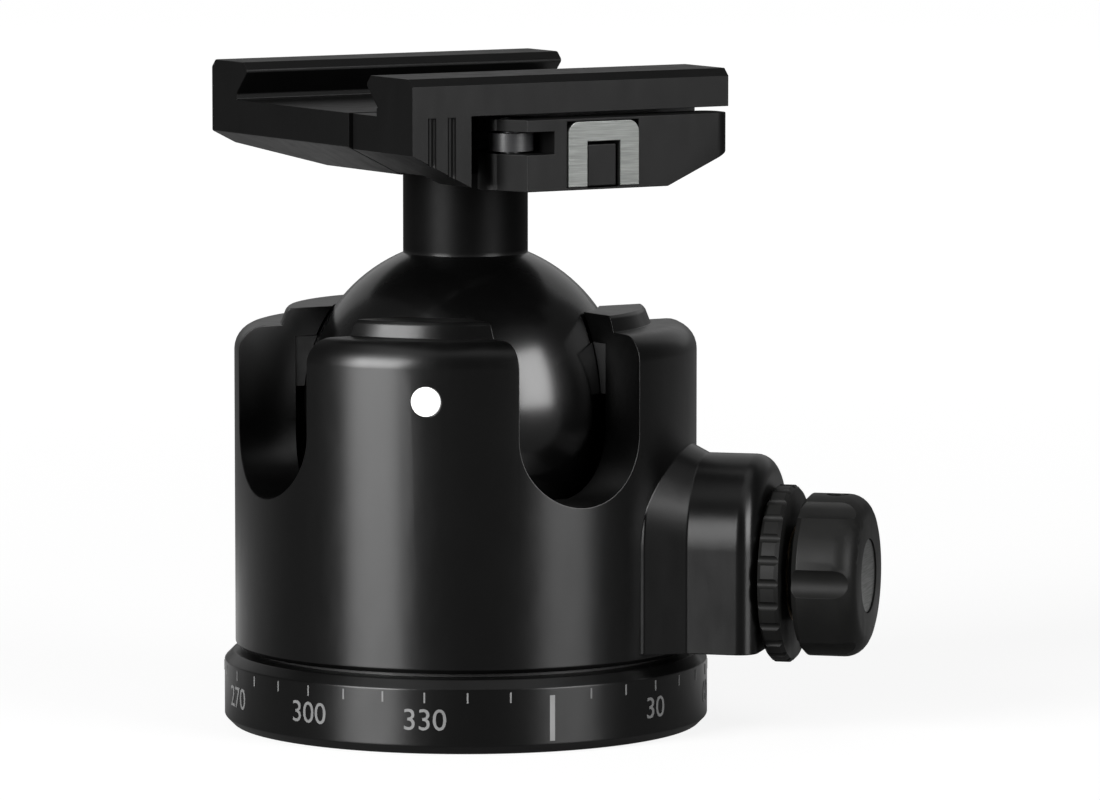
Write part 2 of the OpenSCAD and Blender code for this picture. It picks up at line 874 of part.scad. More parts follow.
module movable_jaw() {
    ribs = 2;
    rib_step = (block_end + jaw_half) / (ribs + 1);
    profile = [
        [-split_y - face_gap, web_z], [-split_y - face_gap, seat_z - seat_gap],
        [-plate_half, seat_z - seat_gap], [-plate_half, seat_z + groove_h],
        [-lip_half, seat_z + groove_h + jaw_overhang],
        [-lip_half, jaw_top - jaw_chamfer], [-lip_half - jaw_chamfer, jaw_top],
        [-movable_y + jaw_chamfer, jaw_top], [-movable_y, jaw_top - jaw_chamfer],
        [-movable_y, seat_z + seat_gap], [-web_y, seat_z + seat_gap], [-web_y, web_z]
    ];
    color(black_anodised)
        difference() {
            union() {
                along_x(-jaw_half, jaw_half) polygon(profile);
                translate([-jaw_half, -movable_y, lever_z])
                    cube([block_end + jaw_half, movable_y - web_y, seat_z + cut - lever_z]);
                translate([-jaw_half, -movable_y, web_z])
                    cube([block_end + jaw_half, movable_y - web_y + cut, seat_z + cut - web_z]);
            }
            end_slopes();
            along_y(pivot_x, draw_z, -web_y - cut, -split_y + cut, draw_d + 2 * face_gap);
            for (x = [-guide_x, guide_x])
                along_y(x, guide_z, guide_head, -split_y + cut, guide_d + 2 * press_gap);
            for (rib = [1 : ribs])
                translate([block_end - rib * rib_step, -movable_y, lever_z - cut])
                    cylinder(h = seat_z - lever_z + cut, r = rib_r, $fn = 24);
        }
}

module guide_pins() {
    color(steel)
        for (x = [-guide_x, guide_x])
            along_y(x, guide_z, guide_head + press_gap, guide_end, guide_d);
}

// Outline of the lever in plan, round its pivot: a cam whose radius falls as the lever opens, and the arm
module lever_outline() {
    steps = 20;
    cam = [
        for (i = [0 : steps])
            let (turn = i / steps * (lever_swing + cam_past), r = cam_r - cam_fall * turn / lever_swing)
                r * [cos(90 + turn), sin(90 + turn)]
    ];
    heel = arc([0, 0], cam_r, heel_from, 270, 2);
    polygon(concat(cam, heel, [[cam_r, -cam_r], [cam_r, lever_t - cam_r]]));
    translate([0, -cam_r])
        square([lever_reach - tip_r, lever_t]);
    translate([lever_reach - tip_r, -cam_r + tip_r])
        circle(r = tip_r);
    translate([lever_reach - tip_r, -cam_r + lever_t - tip_r])
        circle(r = tip_r);
    translate([lever_reach - tip_r, -cam_r + tip_r])
        square([tip_r, lever_t - 2 * tip_r]);
}

module lever() {
    slot_h = eye_t + 2 * face_gap;
    color(black_anodised)
        difference() {
            translate([pivot_x, pivot_y, lever_z])
                linear_extrude(lever_h)
                    lever_outline();
            translate([pivot_x, pivot_y, lever_z - cut])
                cylinder(h = lever_h + 2 * cut, d = pin_d + 2 * run_gap);
            translate([pivot_x - 2 * cam_r, pivot_y - 2 * cam_r, draw_z - slot_h / 2])
                cube([2 * cam_r + eye_r + face_gap, 4 * cam_r, slot_h]);
            translate([pivot_x, pivot_y + cam_r, lever_z])
                rotate([90, 0, 0])
                    linear_extrude(3 * cam_r)
                        polygon([
                            [lever_reach - tip_slope_l * (1 + cut / tip_slope_h), -cut],
                            [lever_reach + cut, -cut],
                            [lever_reach + cut, tip_slope_h * (1 + cut / tip_slope_l)]
                        ]);
            catch_cut(catch_w, catch_h, catch_t, press_gap);
            catch_cut(button_w, button_h, button_seat, face_gap / 2);
        }
}

// A pocket in the lever's face, standing on the catch's lower edge
module catch_cut(width, height, depth, gap) {
    translate([catch_x - width / 2 - gap, lever_face - cut, lever_z + catch_edge - gap])
        cube([width + 2 * gap, depth + cut, height + 2 * gap]);
}

// Frame of the catch: an inverted U with round shoulders
module catch_frame() {
    shoulder = 1.6;
    proud = 0.3;
    color(steel)
        translate([catch_x, lever_face + catch_t, lever_z + catch_edge])
            rotate([90, 0, 0])
                linear_extrude(catch_t + proud)
                    difference() {
                        union() {
                            translate([-catch_w / 2, 0])
                                square([catch_w, catch_h - shoulder]);
                            translate([-catch_w / 2 + shoulder, 0])
                                square([catch_w - 2 * shoulder, catch_h]);
                            for (side = [-1, 1])
                                translate([side * (catch_w / 2 - shoulder), catch_h - shoulder])
                                    circle(r = shoulder);
                        }
                        translate([-button_w / 2 - face_gap, -cut])
                            square([button_w + 2 * face_gap, button_h + face_gap + cut]);
                    }
}

module button_spring() {
    spring_in = 0.8;
    spring_r = button_w / 2 - spring_in;
    spring_t = 0.5;
    spring_wall = 0.6;
    spring_start = lever_face + button_seat - spring_t;
    color(steel)
        translate([catch_x, 0, lever_z + catch_edge + button_h / 2])
            rotate([-90, 0, 0])
                translate([0, 0, spring_start])
                    difference() {
                        cylinder(h = spring_t - press_gap, r = spring_r);
                        translate([0, 0, -cut])
                            cylinder(h = spring_t + 2 * cut, r = spring_r - spring_wall);
                    }
}

module safety_button() {
    spring_room = 0.7;
    sunk = 0.2;
    color(black_knob)
        translate([catch_x - button_w / 2, lever_face + sunk, lever_z + catch_edge])
            cube([button_w, button_seat - button_travel - spring_room - sunk, button_h - seat_gap]);
}

base_plate();
thread_insert();
pan_spindle();
base_screws();
pan_washer();
retaining_nut();
housing();
housing_floor();
upper_race();
main_bush();
fulcrum_block();
index_dot();
main_knob();
main_shaft();
knob_cap();
knob_grub();
friction_ring();
friction_sleeve();
wedge_block();
lower_cup();
pan_knob();
pan_screw();
pan_shoe();
ball_stem();
clamp_base();
clamp_bolt();
draw_bolt();
draw_nut();
lever_pin();
jaw_springs();
movable_jaw();
guide_pins();
lever();
catch_frame();
button_spring();
safety_button();
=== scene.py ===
# %% [markdown]
# # Dressing a tripod ball head
#
# The frame holds the head as exact solids: a panning base, a notched housing, a ball on a stem and a
# lever clamp. This lesson gives those solids their real finish. We soften the machined edges, add the
# printed scale and the cut threads, make one material for each finish, and light the result like a
# catalogue photograph of a black object on white.

# %% Load the frame
import json
import math
import bpy
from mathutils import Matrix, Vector

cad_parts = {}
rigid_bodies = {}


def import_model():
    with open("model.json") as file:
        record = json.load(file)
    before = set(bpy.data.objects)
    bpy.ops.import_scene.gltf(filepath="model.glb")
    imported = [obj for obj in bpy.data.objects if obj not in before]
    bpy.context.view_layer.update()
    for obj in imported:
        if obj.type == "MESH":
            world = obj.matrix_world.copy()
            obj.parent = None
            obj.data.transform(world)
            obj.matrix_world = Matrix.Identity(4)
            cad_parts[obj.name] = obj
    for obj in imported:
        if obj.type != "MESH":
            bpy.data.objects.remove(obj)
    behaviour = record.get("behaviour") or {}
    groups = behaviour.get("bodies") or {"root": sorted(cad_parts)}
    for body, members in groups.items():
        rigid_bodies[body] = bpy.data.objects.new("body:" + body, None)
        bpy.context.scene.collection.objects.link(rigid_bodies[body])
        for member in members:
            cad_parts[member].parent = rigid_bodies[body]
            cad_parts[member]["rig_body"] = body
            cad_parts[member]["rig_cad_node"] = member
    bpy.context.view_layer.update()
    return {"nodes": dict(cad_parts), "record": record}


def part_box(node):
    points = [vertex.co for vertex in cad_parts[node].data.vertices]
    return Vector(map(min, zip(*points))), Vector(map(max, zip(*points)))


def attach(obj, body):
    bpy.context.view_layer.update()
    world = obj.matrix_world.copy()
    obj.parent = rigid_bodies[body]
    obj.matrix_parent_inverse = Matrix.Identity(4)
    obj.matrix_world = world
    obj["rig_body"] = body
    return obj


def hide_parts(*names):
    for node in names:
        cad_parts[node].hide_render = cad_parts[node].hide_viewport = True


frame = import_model()
MM = 0.001

# %% [markdown]
# ## The camera
#
# The head was photographed from a little above, with a long lens, so its upright lines stay parallel.
# A camera could be placed by eye, but an angle round the object and a height above the horizon say the
# same thing in two numbers. The aim is the middle of what the lens sees, which is to the right of the
# pan axis because the lock knob stands out on that side.

# %% Place the camera
VIEW_AZIMUTH = math.radians(-31)
VIEW_ELEVATION = math.radians(6)
LENS = 250
SENSOR = 36
CLIP_START = 0.01
FRAME_WIDTH = 0.150
AIM_RIGHT = 11.5 * MM
AIM_HEIGHT = 44 * MM
away = Vector((
    math.sin(VIEW_AZIMUTH) * math.cos(VIEW_ELEVATION),
    -math.cos(VIEW_AZIMUTH) * math.cos(VIEW_ELEVATION),
    math.sin(VIEW_ELEVATION),
))
rightwards = Vector((math.cos(VIEW_AZIMUTH), math.sin(VIEW_AZIMUTH), 0))
aim = rightwards * AIM_RIGHT + Vector((0, 0, AIM_HEIGHT))
distance = FRAME_WIDTH * LENS / SENSOR

bpy.ops.object.camera_add(location=aim + away * distance)
camera = bpy.context.object
camera.name = "camera"
camera.rotation_euler = away.to_track_quat("Z", "Y").to_euler()
camera.data.lens = LENS
camera.data.sensor_width = SENSOR
camera.data.clip_start = CLIP_START
bpy.context.scene.camera = camera
print("camera at", [round(x, 3) for x in camera.location])

# %% [markdown]
# ## Selecting nothing
#
# Operators act on everything that is selected, and the frame arrives with all its nodes selected. So
# each step starts from an empty selection. The helpers below select one piece, put its place into its
# mesh, apply its modifiers, and hand it to the body that it rides on. The last one copies normals from
# one mesh to another, which two of the steps need.

# %% Helpers for selection and finishing
def select_nothing():
    bpy.ops.object.select_all(action="DESELECT")


def select_only(piece):
    select_nothing()
    piece.select_set(True)
    bpy.context.view_layer.objects.active = piece


def settle(piece):
    """Puts a piece's place, turn and scale into its mesh."""
    select_only(piece)
    bpy.ops.object.transform_apply(location=True, rotation=True, scale=True)


def apply_all(piece):
    """Applies a piece's modifiers in their order, and leaves the piece selected."""
    select_only(piece)
    for modifier in list(piece.modifiers):
        bpy.ops.object.modifier_apply(modifier=modifier.name)


def seat(piece, body, slot, *nodes):
    """A finished piece rides on its body, and may stand for the nodes that it covers."""
    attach(piece, body)
    if nodes:
        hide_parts(*nodes)


def copy_normals(piece, source, corners):
    """Gives the corners in one vertex group the normals of another mesh in the same place."""
    transfer = piece.modifiers.new("exact normals", "DATA_TRANSFER")
    transfer.object = source
    transfer.use_loop_data = True
    transfer.data_types_loops = {"CUSTOM_NORMAL"}
    transfer.loop_mapping = "POLYINTERP_NEAREST"
    transfer.vertex_group = corners.name
    apply_all(piece)

# %% [markdown]
# ## Machined edges
#
# No machined edge is perfectly sharp: a deburring tool breaks it, and the broken edge catches the
# light as a thin line. The solids have sharp edges, and they must stay as they are, so we work on a copy
# of each node whose edges we break. A copy has two empty material slots, one for its walls and one for
# its broken edges, so that the next step can tell them apart.

# %% Copy a node
record = frame["record"]
behaviour = record["behaviour"]
BODY_OF = {node: body for body, nodes in behaviour["bodies"].items() for node in nodes}
SLOT_OF = {row["node"]: row["material_slot"] for row in record["subparts"]}
WALL_SLOT = 0
EDGE_SLOT = 1


def copy_of(node):
    """A copy of a node without the frame's marks, with one slot for walls and one for edges."""
    source = frame["nodes"][node]
    source.hide_set(False)
    select_only(source)
    bpy.ops.object.duplicate()
    piece = bpy.context.object
    piece.name = node + "_finished"
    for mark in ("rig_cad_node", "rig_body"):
        del piece[mark]
    piece.parent = None
    piece.data.materials.clear()
    for slot in (WALL_SLOT, EDGE_SLOT):
        piece.data.materials.append(None)
    return piece


print("material slots:", sorted(set(SLOT_OF.values())))

# %% [markdown]
# ## A narrow bevel
#
# The solids' meshes are loose triangles. We merge a copy's triangles, dissolve the flat ones into whole
# faces, and give every edge that turns by more than sixteen degrees a narrow bevel. Smaller turns are
# the facets of round walls. The Bevel modifier can hold back a width that would overlap, but it holds
# back the whole piece to suit its smallest face, so that is off and each piece has a width of its own.
# The walls then take back the exact normals of the solid, because averaged normals leave streaks where
# a long face meets a small hole.

# %% Break the edges of the machined pieces
MERGE = 0.002 * MM
FLAT_ANGLE = math.radians(0.5)
SHARP_ANGLE = math.radians(16)
EDGE_STEPS = 2


def broken_edges(node, width):
    piece = copy_of(node)
    select_only(piece)
    bpy.ops.mesh.customdata_custom_splitnormals_clear()
    bpy.ops.object.mode_set(mode="EDIT")
    bpy.ops.mesh.select_all(action="SELECT")
    bpy.ops.mesh.remove_doubles(threshold=MERGE)
    bpy.ops.mesh.dissolve_limited(angle_limit=FLAT_ANGLE)
    bpy.ops.object.mode_set(mode="OBJECT")
    bevel = piece.modifiers.new("broken edge", "BEVEL")
    bevel.width = width * MM
    bevel.segments = EDGE_STEPS
    bevel.limit_method = "ANGLE"
    bevel.angle_limit = SHARP_ANGLE
    bevel.use_clamp_overlap = False
    bevel.loop_slide = False
    bevel.material = EDGE_SLOT
    apply_all(piece)
    bpy.ops.object.shade_smooth_by_angle(angle=SHARP_ANGLE)
    walls = piece.vertex_groups.new(name="walls")
    wall_faces = [face for face in piece.data.polygons if face.material_index == WALL_SLOT]
    walls.add([corner for face in wall_faces for corner in face.vertices], 1, "REPLACE")
    copy_normals(piece, frame["nodes"][node], walls)
    seat(piece, BODY_OF[node], SLOT_OF[node], node)
    return piece


EDGES = {  # width of the broken edge in millimetres
    "base_plate": 0.2, "housing": 0.15, "clamp_base": 0.2, "movable_jaw": 0.05, "lever": 0.1,
    "main_knob": 0.08, "catch_frame": 0.12, "safety_button": 0.2, "index_dot": 0.12, "knob_cap": 0.15,
}
finished = {node: broken_edges(node, width) for node, width in EDGES.items()}
for node, piece in finished.items():
    print(node, "faces:", len(piece.data.polygons))

# %% [markdown]
# ## Rounded edges
#
# The shoulder of the housing and the face of its turret are rounded, and each rounding is a row of
# narrow bands. A corner between two bands belongs to both, so the nearest normal may come from either,
# and the light along the edge turns lumpy. Averaging would spoil the flat walls again. So we first find
# the corners that lie on a rounding. The shoulder goes round the upright axis. The turret is an arch on
# straight sides, so a part of its rounding goes round the lock's axis and the rest runs straight down.

# %% Find the corners on a rounding
BODY_R = 31.5 * MM
SHOULDER_Z = 54.7 * MM
SHOULDER_ROUND = 3.5 * MM
TURRET_HALF = 12 * MM
TURRET_REACH = 43 * MM
TURRET_ROUND = 2.6 * MM
ARCH_RISE = 4.1 * MM
NEAR = 0.02 * MM
lock = next(joint for joint in behaviour["joints"] if joint["name"] == "main_knob_turn")
lock_out = Vector(lock["axis"])
arch_middle = Vector(lock["pos_m"]) + Vector((0, 0, ARCH_RISE))
arch_turn = lock_out.to_track_quat("Z", "Y").to_euler()


def on_rounding(out, along, radius, reach, rounding):
    """Whether a place, so far out from an axis and along it, is on the rounding at a bar's end."""
    side = out - radius + rounding
    end = along - reach + rounding
    return min(side, end) > -NEAR and abs(math.hypot(side, end) - rounding) < NEAR


def on_shoulder(place):
    return on_rounding(place.xy.length, place.z, BODY_R, SHOULDER_Z, SHOULDER_ROUND)


def from_lock(place):
    """How far along the lock's axis a place is, and its offset from the arch's middle line."""
    along = place.dot(lock_out)
    return along, place - arch_middle - lock_out * along


def on_arch(place):
    along, across = from_lock(place)
    rounded = on_rounding(across.length, along, TURRET_HALF, TURRET_REACH, TURRET_ROUND)
    return rounded and across.z > 0


def on_sides(place):
    along, across = from_lock(place)
    rounded = on_rounding(across.xy.length, along, TURRET_HALF, TURRET_REACH, TURRET_ROUND)
    return rounded and across.z <= 0


print("lock axis:", [round(x, 3) for x in lock_out])

# %% [markdown]
# ## Normals from plain forms
#
# Now we make plain forms with a finer rounding in the same place, take their normals at those corners,
# and throw the forms away. The shoulder needs a bar round the upright axis. The arch needs a bar round
# the lock's axis, and its sides need a block.

# %% Smooth the roundings
NO_TURN = (0, 0, 0)
TURRET_TALL = 60 * MM
FINE_STEPS = 24
FINE_SIDES = 240


def fine_bar(radius, reach, place, turn):
    select_nothing()
    bpy.ops.mesh.primitive_cylinder_add(
        vertices=FINE_SIDES, radius=radius, depth=2 * reach, location=place, rotation=turn
    )
    return bpy.context.object


def fine_block(half, tall, reach, place, turn):
    select_nothing()
    bpy.ops.mesh.primitive_cube_add(size=2, location=place, rotation=turn)
    block = bpy.context.object
    block.scale = (half, tall, reach)
    return block


def take_normals(piece, form, rounding, wanted):
    """Rounds the ends of a plain form, and gives its normals to a piece's corners on that rounding."""
    settle(form)
    bpy.ops.object.shade_smooth()
    edge = form.modifiers.new("rounding", "BEVEL")
    edge.width = rounding
    edge.segments = FINE_STEPS
    edge.limit_method = "ANGLE"
    edge.harden_normals = True
    apply_all(form)
    corners = piece.vertex_groups.new(name="rounding")
    found = [vertex.index for vertex in piece.data.vertices if wanted(vertex.co)]
    corners.add(found, 1, "REPLACE")
    copy_normals(piece, form, corners)
    bpy.data.objects.remove(form)
    return len(found)


housing = finished["housing"]
shoulder_form = fine_bar(BODY_R, SHOULDER_Z, (0, 0, 0), NO_TURN)
arch_form = fine_bar(TURRET_HALF, TURRET_REACH, arch_middle, arch_turn)
sides_form = fine_block(TURRET_HALF, TURRET_TALL, TURRET_REACH, arch_middle, arch_turn)
print("shoulder corners:", take_normals(housing, shoulder_form, SHOULDER_ROUND, on_shoulder))
print("arch corners:", take_normals(housing, arch_form, TURRET_ROUND, on_arch))
print("side corners:", take_normals(housing, sides_form, TURRET_ROUND, on_sides))

# %% [markdown]
# ## The scale round the base
#
# The panning base carries a printed scale, with a number at every thirty degrees and one bright line
# at zero. Text could be an image, but a mesh stays sharp at any distance. Each mark is laid flat in
# front of the base, wrapped on to the wall with a Shrinkwrap modifier, and given the thickness of a
# coat of paint.

# %% Wrap a flat piece on the base
BASE_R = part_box("base_plate")[1].x
STAND_OFF = 2 * MM
PAINT = 0.03 * MM
FACING = (math.pi / 2, 0, 0)


def wrap_on_base(piece, name, turn):
    """Prints a flat piece that faces -Y on the base's wall, and turns it round the pan axis."""
    settle(piece)
    wrap = piece.modifiers.new("wrap", "SHRINKWRAP")
    wrap.target = finished["base_plate"]
    wrap.wrap_method = "PROJECT"
    wrap.use_project_y = True
    wrap.use_negative_direction = False
    wrap.use_positive_direction = True
    wrap.offset = PAINT
    skin = piece.modifiers.new("paint", "SOLIDIFY")
    skin.thickness = 2 * PAINT
    skin.offset = 0
    apply_all(piece)
    piece.name = name
    piece.rotation_euler = (0, 0, turn + math.pi / 2)
    settle(piece)
    seat(piece, "base", "dot_white")
    return piece


print("radius of the base:", round(BASE_R, 4))

# %% [markdown]
# ## Numbers and lines
#
# A number starts as a text object and becomes a mesh, and a line is a stretched plane. The lines are ten
# degrees apart, and the one at zero is wider and longer than the others.

# %% Print the numbers and the lines
FULL_TURN = 360
ZERO_AT = math.radians(-100)
NUMBER_STEP = 30
NUMBER_H = 3.0 * MM
NUMBER_Z = 4.6 * MM
FONT_RATIO = 1.35
ZERO_WIDTH = 0.7 * MM
ZERO_SPAN = (1.7 * MM, 7.8 * MM)
TICK_STEP = 10
TICK_WIDTH = 0.22 * MM
TICK_SPAN = (7.0 * MM, 8.4 * MM)


def printed_number(value, turn):
    place = (0, -BASE_R - STAND_OFF, NUMBER_Z)
    select_nothing()
    bpy.ops.object.text_add(location=place, rotation=FACING)
    text = bpy.context.object
    text.data.body = str(value)
    text.data.size = NUMBER_H * FONT_RATIO
    text.data.align_x = "CENTER"
    text.data.align_y = "CENTER"
    select_only(text)
    bpy.ops.object.convert(target="MESH")
    return wrap_on_base(bpy.context.object, f"scale_number_{value}", turn)


def printed_line(name, width, span, turn):
    low, high = span
    select_nothing()
    middle = (0, -BASE_R - STAND_OFF, (low + high) / 2)
    bpy.ops.mesh.primitive_plane_add(size=1, location=middle, rotation=FACING)
    line = bpy.context.object
    line.scale = (width, high - low, 1)
    return wrap_on_base(line, name, turn)


numbers = [
    printed_number(value, ZERO_AT + math.radians(value))
    for value in range(NUMBER_STEP, FULL_TURN, NUMBER_STEP)
]
zero_line = printed_line("scale_zero", ZERO_WIDTH, ZERO_SPAN, ZERO_AT)
ticks = [
    printed_line(f"scale_tick_{value}", TICK_WIDTH, TICK_SPAN, ZERO_AT + math.radians(value))
    for value in range(TICK_STEP, FULL_TURN, TICK_STEP)
]
print("numbers:", len(numbers), "ticks:", len(ticks))

# %% [markdown]
# ## The tripod thread
#
# The steel insert in the base is tapped 3/8 inch, sixteen threads to the inch. The solid has a plain
# bore at the thread's crest, and here the insert gets a real thread. It starts as a tube that is opened
# out to the thread's root: a bar whose ends are inset, and then joined through the middle.

# %% Open the tube
ROOT_R = 4.75 * MM
TURN_STEPS = 48
LEVEL = 0.9
insert_low, insert_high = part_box("thread_insert")
insert_h = insert_high.z - insert_low.z
INSERT_R = insert_high.x


def select_faces(piece, wanted):
    """Selects the faces that pass a test, and stays in edit mode."""
    bpy.ops.object.mode_set(mode="EDIT")
    bpy.ops.mesh.select_mode(type="FACE")
    bpy.ops.mesh.select_all(action="DESELECT")
    bpy.ops.object.mode_set(mode="OBJECT")
    for face in piece.data.polygons:
        face.select = wanted(face)
    bpy.ops.object.mode_set(mode="EDIT")


def insert_tube():
    select_nothing()
    middle = (0, 0, insert_low.z + insert_h / 2)
    bpy.ops.mesh.primitive_cylinder_add(
        vertices=TURN_STEPS, radius=INSERT_R, depth=insert_h, location=middle
    )
    tube = bpy.context.object
    settle(tube)
    select_faces(tube, lambda face: abs(face.normal.z) > LEVEL)
    bpy.ops.mesh.inset(thickness=INSERT_R - ROOT_R)
    bpy.ops.mesh.delete(type="FACE")
    bpy.ops.mesh.select_mode(type="EDGE")
    bpy.ops.mesh.select_all(action="DESELECT")
    bpy.ops.mesh.select_non_manifold()
    bpy.ops.mesh.bridge_edge_loops()
    bpy.ops.mesh.select_all(action="SELECT")
    bpy.ops.mesh.normals_make_consistent(inside=False)
    bpy.ops.object.mode_set(mode="OBJECT")
    return tube


tube = insert_tube()
print("tube faces:", len(tube.data.polygons))

# %% [markdown]
# ## The ridge of the thread
#
# A Screw modifier winds a three-sided ridge up the bore. With few steps a turn would be too coarse to
# follow the bore, so each turn has forty-eight, as many as the tube has sides.

# %% Wind the ridge
INCH = 25.4
THREADS_PER_INCH = 16
PITCH = INCH / THREADS_PER_INCH * MM
CREST_R = 4.0 * MM
RIDGE_SIDES = 3
RIDGE_RISE = 1.5


def thread_ridge():
    """A ridge whose inner corner runs along the crest. A triangle is 1.5 times its radius high."""
    ridge_r = (ROOT_R - CREST_R) / RIDGE_RISE
    turns = int(insert_h / PITCH) - 1
    select_nothing()
    first = (CREST_R + ridge_r, 0, insert_low.z + PITCH / 2)
    inwards = (math.pi / 2, math.pi / 2, 0)
    bpy.ops.mesh.primitive_circle_add(
        vertices=RIDGE_SIDES, radius=ridge_r, location=first, rotation=inwards
    )
    ridge = bpy.context.object
    settle(ridge)
    winding = ridge.modifiers.new("winding", "SCREW")
    winding.screw_offset = PITCH
    winding.iterations = turns
    winding.steps = TURN_STEPS
    winding.render_steps = TURN_STEPS
    apply_all(ridge)
    bpy.ops.object.mode_set(mode="EDIT")
    bpy.ops.mesh.select_all(action="DESELECT")
    bpy.ops.mesh.select_non_manifold()
    bpy.ops.mesh.edge_face_add()
    bpy.ops.mesh.select_all(action="SELECT")
    bpy.ops.mesh.normals_make_consistent(inside=False)
    bpy.ops.object.mode_set(mode="OBJECT")
    return ridge


def threaded_insert(tube, ridge):
    select_only(tube)
    ridge.select_set(True)
    bpy.ops.object.join()
    tube.name = "tripod_thread"
    bpy.ops.object.shade_smooth_by_angle(angle=SHARP_ANGLE)
    seat(tube, "base", "steel", "thread_insert")
    return tube


thread = threaded_insert(tube, thread_ridge())
print("thread faces:", len(thread.data.polygons))

# %% [markdown]
# ## The screws under the base
#
# Three cap screws hold the pan spindle from below. Each head is a turned disc with a broken edge and a
# hexagon socket. The socket is cut with a Boolean modifier from a six-sided bar, because an inset on a
# round face would keep the round outline.

# %% Make one screw
screw_low, screw_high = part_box("base_screws")
HEAD_R = 2.7 * MM
SCREW_CIRCLE = -screw_low.y - HEAD_R
HEAD_H = 1.4 * MM
SHANK_R = 1.5 * MM
SOCKET_R = 1.45 * MM
SOCKET_DEEP = 0.9 * MM
HEAD_EDGE = 0.15 * MM
HEAD_SIDES = 48
SHANK_SIDES = 32
SOCKET_SIDES = 6


def add_rod(radius, low, high, sides):
    middle = (SCREW_CIRCLE, 0, (low + high) / 2)
    select_nothing()
    bpy.ops.mesh.primitive_cylinder_add(vertices=sides, radius=radius, depth=high - low, location=middle)
    settle(bpy.context.object)
    return bpy.context.object


def cap_screw():
    head = add_rod(HEAD_R, screw_low.z, screw_low.z + HEAD_H, HEAD_SIDES)
    socket = add_rod(SOCKET_R, screw_low.z - HEAD_H, screw_low.z + SOCKET_DEEP, SOCKET_SIDES)
    cut = head.modifiers.new("socket", "BOOLEAN")
    cut.operation = "DIFFERENCE"
    cut.object = socket
    edge = head.modifiers.new("edge", "BEVEL")
    edge.width = HEAD_EDGE
    edge.segments = EDGE_STEPS
    edge.limit_method = "ANGLE"
    apply_all(head)
    bpy.data.objects.remove(socket)
    shank = add_rod(SHANK_R, screw_low.z + HEAD_H, screw_high.z, SHANK_SIDES)
    select_only(head)
    shank.select_set(True)
    bpy.ops.object.join()
    bpy.ops.object.shade_smooth_by_angle(angle=SHARP_ANGLE)
    return head


first_screw = cap_screw()
print("faces of one screw:", len(first_screw.data.polygons))

# %% [markdown]
# ## Three alike
#
# The screws stand at equal angles round the pan axis. One screw is copied to each place, and the copies
# are joined, because the record has them as one node.

# %% Copy the screw
SCREW_AT = (30, 150, 270)


def three_screws(first):
    copies = []
    for angle in SCREW_AT:
        select_only(first)
        bpy.ops.object.duplicate()
        copy = bpy.context.object
        copy.rotation_euler = (0, 0, math.radians(angle))
        settle(copy)
        copies.append(copy)
    bpy.data.objects.remove(first)
    select_only(copies[0])
    for copy in copies[1:]:
        copy.select_set(True)
    bpy.ops.object.join()
    copies[0].name = "cap_screws"
    seat(copies[0], "base", "steel", "base_screws")
    return copies[0]


screws = three_screws(first_screw)
print("faces of the screws:", len(screws.data.polygons))

# %% [markdown]
# ## Building a material
#
# Every finish here starts the same way: a Principled shader, and a texture read from Object
# coordinates, so that the pattern stays on the piece in every pose. These helpers lay down the nodes
# that the finishes share: a stretched or turned place, a noise, a range for a value, a blend of two
# colours, and a bump. The sockets of a Mix node share their names, so they are picked by number.

# %% Helpers for materials
MIX_FACTOR = 0
MIX_FIRST = 6
MIX_SECOND = 7
MIX_RESULT = 2


def grey(level):
    return (level, level, level)


def start(name):
    """A new material, its nodes, its shader and the place of a point in Object coordinates."""
    material = bpy.data.materials.new(name)
    material.use_nodes = True
    tree = material.node_tree
    shader = tree.nodes["Principled BSDF"]
    place = tree.nodes.new("ShaderNodeTexCoord")
    return material, tree, shader, place.outputs["Object"]


def mapped(tree, vector, scale, turn=NO_TURN):
    node = tree.nodes.new("ShaderNodeMapping")
    node.inputs["Scale"].default_value = scale
    node.inputs["Rotation"].default_value = turn
    tree.links.new(vector, node.inputs["Vector"])
    return node.outputs["Vector"]


def noise(tree, vector, scale, detail=3, rough=0.55):
    node = tree.nodes.new("ShaderNodeTexNoise")
    node.inputs["Scale"].default_value = scale
    node.inputs["Detail"].default_value = detail
    node.inputs["Roughness"].default_value = rough
    tree.links.new(vector, node.inputs["Vector"])
    return node.outputs["Fac"]


def spread(tree, value, low, high, from_low=0.3, from_high=0.7):
    """Maps a texture's usual range to a range of values."""
    node = tree.nodes.new("ShaderNodeMapRange")
    node.inputs["From Min"].default_value = from_low
    node.inputs["From Max"].default_value = from_high
    node.inputs["To Min"].default_value = low
    node.inputs["To Max"].default_value = high
    tree.links.new(value, node.inputs["Value"])
    return node.outputs["Result"]


def blend_colours(tree, factor, first, second):
    node = tree.nodes.new("ShaderNodeMix")
    node.data_type = "RGBA"
    node.inputs[MIX_FIRST].default_value = (*first, 1)
    node.inputs[MIX_SECOND].default_value = (*second, 1)
    tree.links.new(factor, node.inputs[MIX_FACTOR])
    return node.outputs[MIX_RESULT]


def bumped(tree, shader, height, strength, depth):
    node = tree.nodes.new("ShaderNodeBump")
    node.inputs["Strength"].default_value = strength
    node.inputs["Distance"].default_value = depth
    tree.links.new(height, node.inputs["Height"])
    tree.links.new(node.outputs["Normal"], shader.inputs["Normal"])

# %% [markdown]
# ## Black anodised aluminium
#
# The housing, base and clamp are turned or milled, blasted to a satin grain and dyed black. The black
# is not quite even: dye takes a little more in one place than another, and handling polishes it. A fine
# noise is the blasted grain, a coarse one shifts colour and roughness, and a noise squeezed along the
# turning axis leaves the faint rings of the lathe. Rings spread light across themselves and not along
# themselves, so the turned pieces also get an anisotropic shine, which draws a highlight out into an
# upright band.

